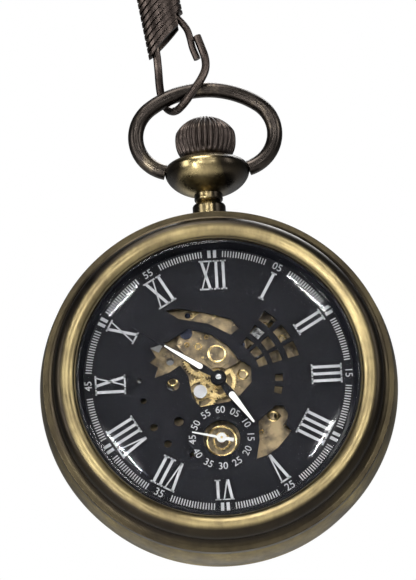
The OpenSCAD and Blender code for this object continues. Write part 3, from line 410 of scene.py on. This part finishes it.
# The case, in mm: heights are over its middle, towards the viewer, and radii are about its axis.
BAND_FRONT = 3.35
BAND_BORE_R = 20.9
BAND_CURVE = (13.5, 10)  # radius of the bulge's centre, and the bulge's own radius
FLANGE_IN = 0.55  # how far the bezel and the back stand in from the band
SEAT_R = 18.9
LIP_R = 18.6
BEZEL_EDGE = (4.43, 0.12)  # height and radius of the round at the bezel's outer edge
BEZEL_HOLLOW = (22.55, 5.75, 1.25)  # centre and radius of the hollow round the bezel
BEZEL_ROLL = (20.0, 5.7, 1.6)  # centre and radius of the bezel's rounded front
GLASS_TOP = 8.3
GLASS_R = 18.35
GLASS_DOME = 125
GLASS_T = 0.75
GLASS_BEVEL = 0.28
GLASS_RIM = (6.1, 6.85)  # heights of the rim that the bezel holds
GLASS_FOOT = (18.1, 18.7)  # inner and outer radius of that rim
BACK_Z = -5.7
BACK_WINDOW_R = 15.8
BACK_RECESS = (16.7, -4.2, -5.2)  # radius, top and floor of the seat of the back's glass
BACK_ROUND = 1.35
EDGE = 0.06  # small break of a sharp edge
ON_AXIS = 1e-4  # radius of a point that stands for the axis


def case_pieces():
    flange_r = CASE_R - FLANGE_IN
    bezel = [(SEAT_R, BAND_FRONT), (flange_r - EDGE, BAND_FRONT), (flange_r, BAND_FRONT + EDGE)]
    edge_z, edge_round = BEZEL_EDGE
    bezel += arc(flange_r - edge_round, edge_z, edge_round, 0, 90, 6)
    bezel += arc(*BEZEL_HOLLOW, 262, 182, 24)
    bezel += arc(*BEZEL_ROLL, -2, 178, 48)
    bezel += [(LIP_R, BEZEL_ROLL[1]), (LIP_R, GLASS_RIM[1]), (SEAT_R, GLASS_RIM[1])]
    lathe("bezel_fine", bezel, "bezel_bronze", "bezel")

    half = math.degrees(math.asin(BAND_FRONT / BAND_CURVE[1]))
    band = [(BAND_BORE_R, BAND_FRONT), (BAND_BORE_R, -BAND_FRONT)]
    band += arc(BAND_CURVE[0], 0, BAND_CURVE[1], -half, half, 24)
    lathe("mid_case_fine", band, "antique_bronze", "mid_case")

    recess_r, recess_top, recess_floor = BACK_RECESS
    back = [(BAND_BORE_R, -BAND_FRONT), (BAND_BORE_R, recess_top), (recess_r, recess_top)]
    back += [(recess_r, recess_floor), (BACK_WINDOW_R, recess_floor)]
    back += [(BACK_WINDOW_R, BACK_Z + 0.1), (BACK_WINDOW_R + 0.1, BACK_Z)]
    back += arc(flange_r - BACK_ROUND, BACK_Z + BACK_ROUND, BACK_ROUND, -90, 47, 32)
    lathe("back_cover_fine", back, "antique_bronze", "back_cover")


def glass_height(r, top):
    return top - (GLASS_DOME - math.sqrt(GLASS_DOME ** 2 - r * r))


def crystal_piece():
    steps = 24
    flat = [i / steps * (GLASS_R - GLASS_BEVEL) for i in range(steps + 1)]
    foot_in, foot_out = GLASS_FOOT
    outline = [(max(r, ON_AXIS), glass_height(r, GLASS_TOP)) for r in flat]
    outline += [(GLASS_R, outline[-1][1] - GLASS_BEVEL * 0.6), (GLASS_R, GLASS_RIM[1])]
    outline += [(foot_out, GLASS_RIM[1]), (foot_out, GLASS_RIM[0]), (foot_in, GLASS_RIM[0])]
    outline += [(max(r, ON_AXIS), glass_height(r, GLASS_TOP - GLASS_T)) for r in reversed(flat)]
    lathe("crystal_fine", outline, "glass", "crystal")


# The pendant: heights are over the middle of the case, and radii are about the stem's axis.
PENDANT_BORE = 0.67
TUBE = (1.97, 20.5, 22.9)  # radius, foot and top of the tube inside the case
NECK_R = 2.2
UPPER_NECK_R = 1.9
GROOVE_Y = 25.2
BEADS = (0.5, 0.45, 0.7)  # radii of the rounds below and over the groove, and the upper one's rise
HEAD_R = 5.65
HEAD_Y = 29.9
HEAD_TOP = 31.1
HEAD_DEPTH = 3.6
HEAD_SHOULDER = 1.9


def pendant_piece():
    low = math.degrees(math.acos(UPPER_NECK_R / HEAD_R))
    high = math.degrees(math.asin((HEAD_TOP - HEAD_Y) / HEAD_SHOULDER))
    tube_r, tube_foot, tube_top = TUBE
    lower_bead, upper_bead, upper_rise = BEADS
    outline = [(PENDANT_BORE, tube_foot), (tube_r, tube_foot), (tube_r, tube_top), (NECK_R, tube_top)]
    outline += arc(NECK_R - lower_bead, GROOVE_Y - lower_bead, lower_bead, 0, 80, 10)
    outline += arc(UPPER_NECK_R - upper_bead, GROOVE_Y + upper_rise, upper_bead, -80, 20, 12)
    outline += [(HEAD_R * c, HEAD_Y + HEAD_DEPTH * v) for c, v in arc(0, 0, 1, -low, 0, 32)]
    outline += [(HEAD_R * c, HEAD_Y + HEAD_SHOULDER * v) for c, v in arc(0, 0, 1, 2, high, 16)]
    outline += [(PENDANT_BORE, HEAD_TOP)]
    lathe("pendant_fine", outline, "pendant_bronze", "pendant", about_stem)


CROWN_R = 4.05
CROWN_BASE = 31.25
CROWN_TOP = 37.3
CROWN_WIDE_Y = 34.05
CROWN_DOME = 4.6
CROWN_BORE = (0.64, 35.2)  # radius, and the height where it ends
CROWN_FLUTES = 30
FLUTE_DEPTH = 0.3
FLUTE_FOOT = CROWN_BASE + 0.6
FLUTE_INNER_R = 1.3


def crown_piece():
    def skin(y):
        ball = math.sqrt(max(CROWN_R ** 2 - (y - CROWN_WIDE_Y) ** 2, 0))
        dome = math.sqrt(max(CROWN_DOME ** 2 - (y - CROWN_TOP + CROWN_DOME) ** 2, 0))
        return min(ball, dome)

    def groove(r, h, turn):
        if h < FLUTE_FOOT or r < FLUTE_INNER_R:
            return r
        depth = FLUTE_DEPTH * min(1, (h - FLUTE_FOOT) / 0.5) * min(1, (r - FLUTE_INNER_R) / 1.5)
        return r - depth * abs(math.cos(turn * CROWN_FLUTES / 2)) ** 3

    steps = 40
    tall = CROWN_TOP - CROWN_BASE
    rise = [CROWN_BASE + tall * math.sin(math.pi / 2 * i / steps) for i in range(steps + 1)]
    bore_r, bore_end = CROWN_BORE
    outline = [(bore_r, CROWN_BASE)] + [(max(skin(y), 0.01), y) for y in rise]
    outline += [(0.01, bore_end), (bore_r, bore_end)]
    lathe("crown_fine", outline, "dark_bronze", "crown", about_stem, CROWN_FLUTES * 12, flute=groove)


BOW_SIDE = (4.275, 34.8, 5)  # centre and radius of the tight curve at each side
BOW_END_ANGLE = -75
BOW_TOP_Y = 41.175
BOW_PIVOT_Y = 30.1
BOW_WIRE_R = 1.025
BOW_PIN = (5.2, 5.9, 0.6)  # inner end, outer end and radius of a pivot pin


def bow_piece():
    x, y, r = BOW_SIDE
    top_r = (x ** 2 + (BOW_TOP_Y - y) ** 2 - r ** 2) / (2 * (BOW_TOP_Y - y - r))
    top_y = BOW_TOP_Y - top_r
    lean = math.degrees(math.atan2(y - top_y, x))
    right = arc(x, y, r, BOW_END_ANGLE, lean, 48)
    top = arc(0, top_y, top_r, lean, 180 - lean, 32)
    left = [(-px, py) for px, py in reversed(right)]
    inner, outer, pin_r = BOW_PIN
    pins = [wire([(side * inner, BOW_PIVOT_Y), (side * outer, BOW_PIVOT_Y)], pin_r) for side in (-1, 1)]
    build("bow_fine", *joined([wire(right + top[1:-1] + left, BOW_WIRE_R), *pins]), "bow_bronze", "bow")


case_pieces()
crystal_piece()
pendant_piece()
crown_piece()
bow_piece()


# ---- Settings round the jewels and screws on the plates behind the dial's windows ----

PLATE_Z = 3.0  # face of the main plate over the middle of the case
BRIDGE_Z = 4.1  # face of the minute train's bridge
SETTINGS = [  # x, y, height of the plate, radius
    (0.0, 3.6, BRIDGE_Z, 1.25),
    (-2.4, 4.7, BRIDGE_Z, 0.5),
    (-3.9, 5.0, BRIDGE_Z, 0.35),
    (-1.3, 5.9, BRIDGE_Z, 0.3),
    (-6.05, 0.4, PLATE_Z, 0.7),
    (6.85, -4.9, PLATE_Z, 0.75),
    (3.2, 0.9, PLATE_Z, 0.75),
    (6.4, 7.2, PLATE_Z, 0.6),
    (0, -7.9, PLATE_Z, 2.1),
    (0, -7.9, PLATE_Z, 1.2),
    (5.2, -6.9, PLATE_Z, 0.3),
    (8.6, 5.4, PLATE_Z, 0.6),
]


def plate_settings():
    """Raised bright rings round the jewels and screws."""
    rings = []
    for x, y, z, r in SETTINGS:
        width = min(0.28, r * 0.4)
        ring = [(r - width, z), (r, z), (r, z + 0.08), (r - width / 2, z + 0.16), (r - width, z + 0.08)]
        rings.append(spin(ring, lambda u, v, h: watch_point(x + u, y + v, h), 48))
    mesh_piece("plate_settings", *joined(rings), "brass", NODES["main_plate"]["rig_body"], "brass")


plate_settings()


# ---- Dial print ----

PRINT_T = 0.03
PRINT_Z = (DIAL_Z, DIAL_Z + PRINT_T)


def slab(shapes, transform):
    """Thin raised prisms from flat convex outlines, each moved by transform(x, y)."""
    verts, faces = [], []
    for outline in shapes:
        base, count = len(verts), len(outline)
        for z in PRINT_Z:
            for x, y in outline:
                verts.append(watch_point(*transform(x, y), z))
        faces.append([base + count + i for i in range(count)])
        faces.append([base + i for i in reversed(range(count))])
        for i in range(count):
            k = (i + 1) % count
            faces.append([base + i, base + k, base + count + k, base + count + i])
    return verts, faces


def stroke(x0, y0, x1, y1, width):
    """Slanted stroke whose ends are level, as in a serif letter."""
    h = width / 2
    return [(x0 - h, y0), (x0 + h, y0), (x1 + h, y1), (x1 - h, y1)]


def level_bar(x0, x1, y, t):
    return [(x0, y - t / 2), (x1, y - t / 2), (x1, y + t / 2), (x0, y + t / 2)]


# Roman letters, in parts of their height.
THICK = 0.1
THIN = 0.045
SERIF = 0.05
SERIF_GAP = 0.02
GLYPH_WIDTHS = {"I": 0.25, "V": 0.46, "X": 0.5}


def glyph(letter, x):
    """Outlines of one Roman letter of height 1, its left side at x."""
    w = GLYPH_WIDTHS[letter]
    if letter == "I":
        return [stroke(x + w / 2, 0, x + w / 2, 1, THICK)]
    if letter == "V":
        left = stroke(x + w * 0.5, 0, x + w * 0.2, 1, THICK)
        return [left, stroke(x + w * 0.54, 0, x + w * 0.84, 1, THIN)]
    return [stroke(x + w * 0.8, 0, x + w * 0.2, 1, THICK), stroke(x + w * 0.18, 0, x + w * 0.82, 1, THIN)]


def numeral(text):
    """Outlines of a Roman numeral of height 1, centred, with a serif bar at the ends of each letter."""
    total = sum(GLYPH_WIDTHS[c] for c in text)
    x, shapes = -total / 2, []
    for letter in text:
        w = GLYPH_WIDTHS[letter]
        shapes += glyph(letter, x)
        left, right = x + SERIF_GAP, x + w - SERIF_GAP
        shapes.append(level_bar(left, right, 1 - SERIF / 2, SERIF))
        if letter != "V":
            shapes.append(level_bar(left, right, SERIF / 2, SERIF))
        x += w
    return shapes


def around(angle, radius, origin=(0, 0), scale=(1, 1)):
    """Transform from a letter's own plane to the dial, feet towards origin, at a clock angle."""
    a = math.radians(angle)
    ax, ay = math.cos(a), -math.sin(a)
    rx, ry = math.sin(a), math.cos(a)

    def place(x, y):
        u, v = x * scale[0], radius + y * scale[1]
        return origin[0] + u * ax + v * rx, origin[1] + u * ay + v * ry
    return place


HOURS = ["XII", "I", "II", "III", "IIII", "V", "VI", "VII", "VIII", "IX", "X", "XI"]
NUMERAL_R = (12.1, 16.1)  # feet and tops
NUMERAL_WIDTH = 3.7
SIX_R = 13.4  # the VI is short, to clear the seconds


def hour_numerals():
    letters = []
    for i, text in enumerate(HOURS):
        foot, top = NUMERAL_R
        foot = SIX_R if text == "VI" else foot
        letters.append(slab(numeral(text), around(i * 30, foot, scale=(NUMERAL_WIDTH, top - foot))))
    mesh_piece("hour_numerals", *joined(letters), "dial_print", "case", "ivory_lume")


TRACK_R = (16.45, 17.45)
TICKS = 300
TICK_WIDTH = 0.14
TICK_IN = 0.1  # how much shorter a tick is than the bars, at each end
BAR_WIDTH = 0.42
BAR_ANGLE = 1.25


def minute_track():
    """Fine ticks, a pair of bars at every other hour, and gaps for the bars and the digits."""
    inner, outer = TRACK_R
    ticks = []

    def tick(angle, r0, r1, width):
        half = width / 2
        box = [(-half, 0), (half, 0), (half, 1), (-half, 1)]
        ticks.append(slab([box], around(angle, r0, scale=(1, r1 - r0))))

    for i in range(TICKS):
        angle = i * 360 / TICKS
        off = angle % 60
        if min(off, 60 - off) < 4.5 or abs(off - 30) < 5.5:
            continue
        tick(angle, inner + TICK_IN, outer - TICK_IN, TICK_WIDTH)
    for pair in range(6):
        for side in (-1, 1):
            tick(pair * 60 + side * BAR_ANGLE, inner, outer, BAR_WIDTH)
    mesh_piece("minute_track", *joined(ticks), "dial_print", "case", "ivory_lume")


def digits_mesh(text, size):
    """Flat outline of digits in Blender's own font, centred, as (verts, faces) in mm."""
    curve = bpy.data.curves.new("digits", "FONT")
    curve.body = text
    curve.size = size
    curve.align_x = "CENTER"
    curve.align_y = "CENTER"
    curve.resolution_u = 6
    holder = bpy.data.objects.new("digits", curve)
    bpy.context.scene.collection.objects.link(holder)
    bpy.context.view_layer.update()
    mesh = bpy.data.meshes.new_from_object(holder.evaluated_get(bpy.context.evaluated_depsgraph_get()))
    verts = [(v.co.x, v.co.y) for v in mesh.vertices]
    faces = [list(p.vertices) for p in mesh.polygons]
    bpy.data.objects.remove(holder)
    bpy.data.meshes.remove(mesh)
    bpy.data.curves.remove(curve)
    return verts, faces


def dial_digits(name, labels, size):
    """Digits as one thin raised piece; labels are (text, transform)."""
    verts, faces = [], []
    for text, place in labels:
        flat, flat_faces = digits_mesh(text, size)
        base = len(verts)
        verts += [watch_point(*place(x, y), PRINT_Z[1]) for x, y in flat]
        faces += [[base + v for v in face] for face in flat_faces]
    piece = mesh_piece(name, verts, faces, "dial_print", "case", "ivory_lume")
    thicken = piece.modifiers.new("thickness", "SOLIDIFY")
    thicken.thickness = PRINT_T * MM
    thicken.offset = -1


def upright(flip):
    """Scale that turns digits over near 6 o'clock, where they would stand on their heads."""
    return (-1, -1) if flip else (1, 1)


def track_digits():
    labels = []
    for minute in range(5, 60, 10):
        place = around(minute * 6, sum(TRACK_R) / 2, scale=upright(25 <= minute <= 35))
        labels.append((f"{minute:02d}", place))
    dial_digits("track_digits", labels, 1.35)


SUB_CENTRE = watch_plane("fourth_wheel")
SUB_R = 3.75


def seconds_digits():
    labels = []
    for second in range(5, 65, 5):
        place = around(second * 6, SUB_R, SUB_CENTRE, upright(20 <= second <= 40))
        labels.append((f"{second:02d}", place))
    dial_digits("seconds_digits", labels, 1.3)


hour_numerals()
minute_track()
track_digits()
seconds_digits()


# ---- Stage, lights and camera ----

scene = bpy.context.scene
TARGET = watch_point(-0.74, 13.45, 0)
CAMERA_ELEVATION = math.radians(-15.4)
CAMERA_ROLL = math.radians(-3.1)
CAMERA_DISTANCE = 0.6
FRAME_HEIGHT = 0.0766


def aim(obj, place, target, roll=0.0):
    """Puts obj at place, with its -Z towards target."""
    obj.location = place
    turn = (target - place).to_track_quat("-Z", "Y").to_matrix().to_4x4()
    obj.rotation_euler = (turn @ Matrix.Rotation(roll, 4, "Z")).to_euler()


def make_camera():
    data = bpy.data.cameras.new("camera")
    camera = bpy.data.objects.new("camera", data)
    scene.collection.objects.link(camera)
    data.sensor_fit = "AUTO"
    data.sensor_width = 36
    data.lens = data.sensor_width * CAMERA_DISTANCE / FRAME_HEIGHT
    data.clip_start = 0.01
    away = Vector((0, -math.cos(CAMERA_ELEVATION), math.sin(CAMERA_ELEVATION)))
    aim(camera, TARGET + away * CAMERA_DISTANCE, TARGET, CAMERA_ROLL)
    scene.camera = camera


def area_light(name, place, target, size, power, colour=(1, 1, 1), size_y=None):
    data = bpy.data.lights.new(name, "AREA")
    data.shape = "RECTANGLE"
    data.size = size
    data.size_y = size_y or size
    data.energy = power
    data.color = colour
    light = bpy.data.objects.new(name, data)
    scene.collection.objects.link(light)
    aim(light, place, target)
    return light


GLINT_RINGS = ((17.6, 1.0), (15.9, 0.55))  # radius on the glass, and share of the full length
GLINT_REACH = 0.4
GLINT_WIDTH = 0.0016
GLINT_POWER = 0.13


def window_glint(clock, spread):
    """Two thin bright bars, mirrored one inside the other near the crystal's rim, at a clock angle."""
    a = math.radians(clock)
    outward = Vector((math.sin(a), 0, math.cos(a)))
    along = Vector((math.cos(a), 0, -math.sin(a)))
    eye = scene.camera.location
    for number, (radius, share) in enumerate(GLINT_RINGS):
        rise = math.asin(radius / GLASS_DOME)
        spot = watch_point(radius * outward.x, radius * outward.z, glass_height(radius, GLASS_TOP))
        normal = Vector((0, -math.cos(rise), 0)) + outward * math.sin(rise)
        ray = (spot - eye).normalized()
        ray = ray - 2 * ray.dot(normal) * normal
        length = 2 * GLINT_REACH / GLASS_DOME * spread * share
        place = spot + ray * GLINT_REACH
        bar = area_light(f"window_{clock}_{number}", place, spot, length, GLINT_POWER, size_y=GLINT_WIDTH)
        look = (spot - bar.location).normalized()
        flat = (along - look * along.dot(look)).normalized()
        bar.visible_diffuse = False
        bar.rotation_euler = Matrix((flat, look.cross(flat) * -1, -look)).transposed().to_euler()


FLOOR_DROP = 0.16
FLOOR_HALF = 1.5


def make_floor():
    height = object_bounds()[0].z - FLOOR_DROP
    corners = [(-1, -1), (1, -1), (1, 1), (-1, 1)]
    mesh = bpy.data.meshes.new("floor")
    mesh.from_pydata([(x * FLOOR_HALF, y * FLOOR_HALF, height) for x, y in corners], [], [(0, 1, 2, 3)])
    n = Nodes("floor")
    n.link(n.mix(n.noise(3, 2), (0.9, 0.9, 0.89), (0.86, 0.86, 0.86)), "Base Color")
    n.shader.inputs["Emission Color"].default_value = (1, 1, 1, 1)
    mesh.materials.append(n.finish(Roughness=0.8, Emission_Strength=0.32))
    floor = bpy.data.objects.new("floor", mesh)
    scene.collection.objects.link(floor)
    floor.visible_transmission = False


# Brightness of the room by direction: from straight down (0) to straight up (1), from the middle (0) to
# either side (1), and from the middle (0) to straight behind the watch (1).
ROOM_BY_HEIGHT = [(0, 0.7), (0.3, 0.4), (0.42, 0.1), (0.5, 0.03), (0.72, 0.03), (0.86, 0.06), (1, 0.08)]
ROOM_BY_SIDE = [(0.5, 0.02), (0.75, 0.12), (1, 0.22)]
ROOM_BY_DEPTH = [(0.2, 0.02), (0.7, 0.2), (1, 0.25)]


def make_world():
    """White to the camera; a room that is bright below, behind and at the sides, and dark in front."""
    world = bpy.data.worlds.new("studio")
    scene.world = world
    world.use_nodes = True
    tree = world.node_tree
    tree.nodes.clear()

    def node(kind, operation=None):
        made = tree.nodes.new(kind)
        if operation:
            made.operation = operation
        return made

    split = node("ShaderNodeSeparateXYZ")
    tree.links.new(node("ShaderNodeTexCoord").outputs["Generated"], split.inputs[0])

    def brighter(a, b):
        made = node("ShaderNodeMath", "MAXIMUM")
        tree.links.new(a, made.inputs[0])
        tree.links.new(b, made.inputs[1])
        return made.outputs[0]

    def ramp(value, stops):
        made = node("ShaderNodeValToRGB")
        elements = made.color_ramp.elements
        while len(elements) < len(stops):
            elements.new(0.5)
        for element, (position, grey) in zip(elements, stops):
            element.position = position
            element.color = (grey, grey, grey, 1)
        tree.links.new(value, made.inputs["Fac"])
        return made.outputs["Color"]

    height = node("ShaderNodeMath", "MULTIPLY_ADD")
    height.inputs[1].default_value = 0.5
    height.inputs[2].default_value = 0.5
    tree.links.new(split.outputs["Z"], height.inputs[0])
    sideways = node("ShaderNodeMath", "ABSOLUTE")
    tree.links.new(split.outputs["X"], sideways.inputs[0])
    brightness = brighter(ramp(height.outputs[0], ROOM_BY_HEIGHT), ramp(sideways.outputs[0], ROOM_BY_SIDE))
    brightness = brighter(brightness, ramp(split.outputs["Y"], ROOM_BY_DEPTH))

    room = node("ShaderNodeBackground")
    tree.links.new(brightness, room.inputs["Strength"])
    seen = node("ShaderNodeBackground")
    seen.inputs["Color"].default_value = (1, 1, 1, 1)
    mix = node("ShaderNodeMixShader")
    tree.links.new(node("ShaderNodeLightPath").outputs["Is Camera Ray"], mix.inputs[0])
    tree.links.new(room.outputs[0], mix.inputs[1])
    tree.links.new(seen.outputs[0], mix.inputs[2])
    tree.links.new(mix.outputs[0], node("ShaderNodeOutputWorld").inputs[0])


make_camera()
make_world()
make_floor()
CASE_FRONT = watch_point(0, 0, 0)
area_light("key", watch_point(-60, 360, 160), CASE_FRONT, 0.2, 1.6, (1, 0.98, 0.95))
area_light("right", watch_point(325, 140, 190), CASE_FRONT, 0.1, 0.6, size_y=0.25)
area_light("left", watch_point(-340, 70, 200), CASE_FRONT, 0.1, 0.9, size_y=0.25)
area_light("low", watch_point(-40, -306, 257), CASE_FRONT, 0.25, 0.75)
area_light("rear", watch_point(60, 340, -190), CASE_FRONT, 0.25, 1.2)
area_light("front_left", watch_point(-210, -85, 330), watch_point(0, 20, 0), 0.04, 0.6, size_y=0.22)
for clock, spread in ((50, 15), (125, 13), (232, 15), (312, 12)):
    window_glint(clock, spread)
scene.view_settings.view_transform = "Standard"
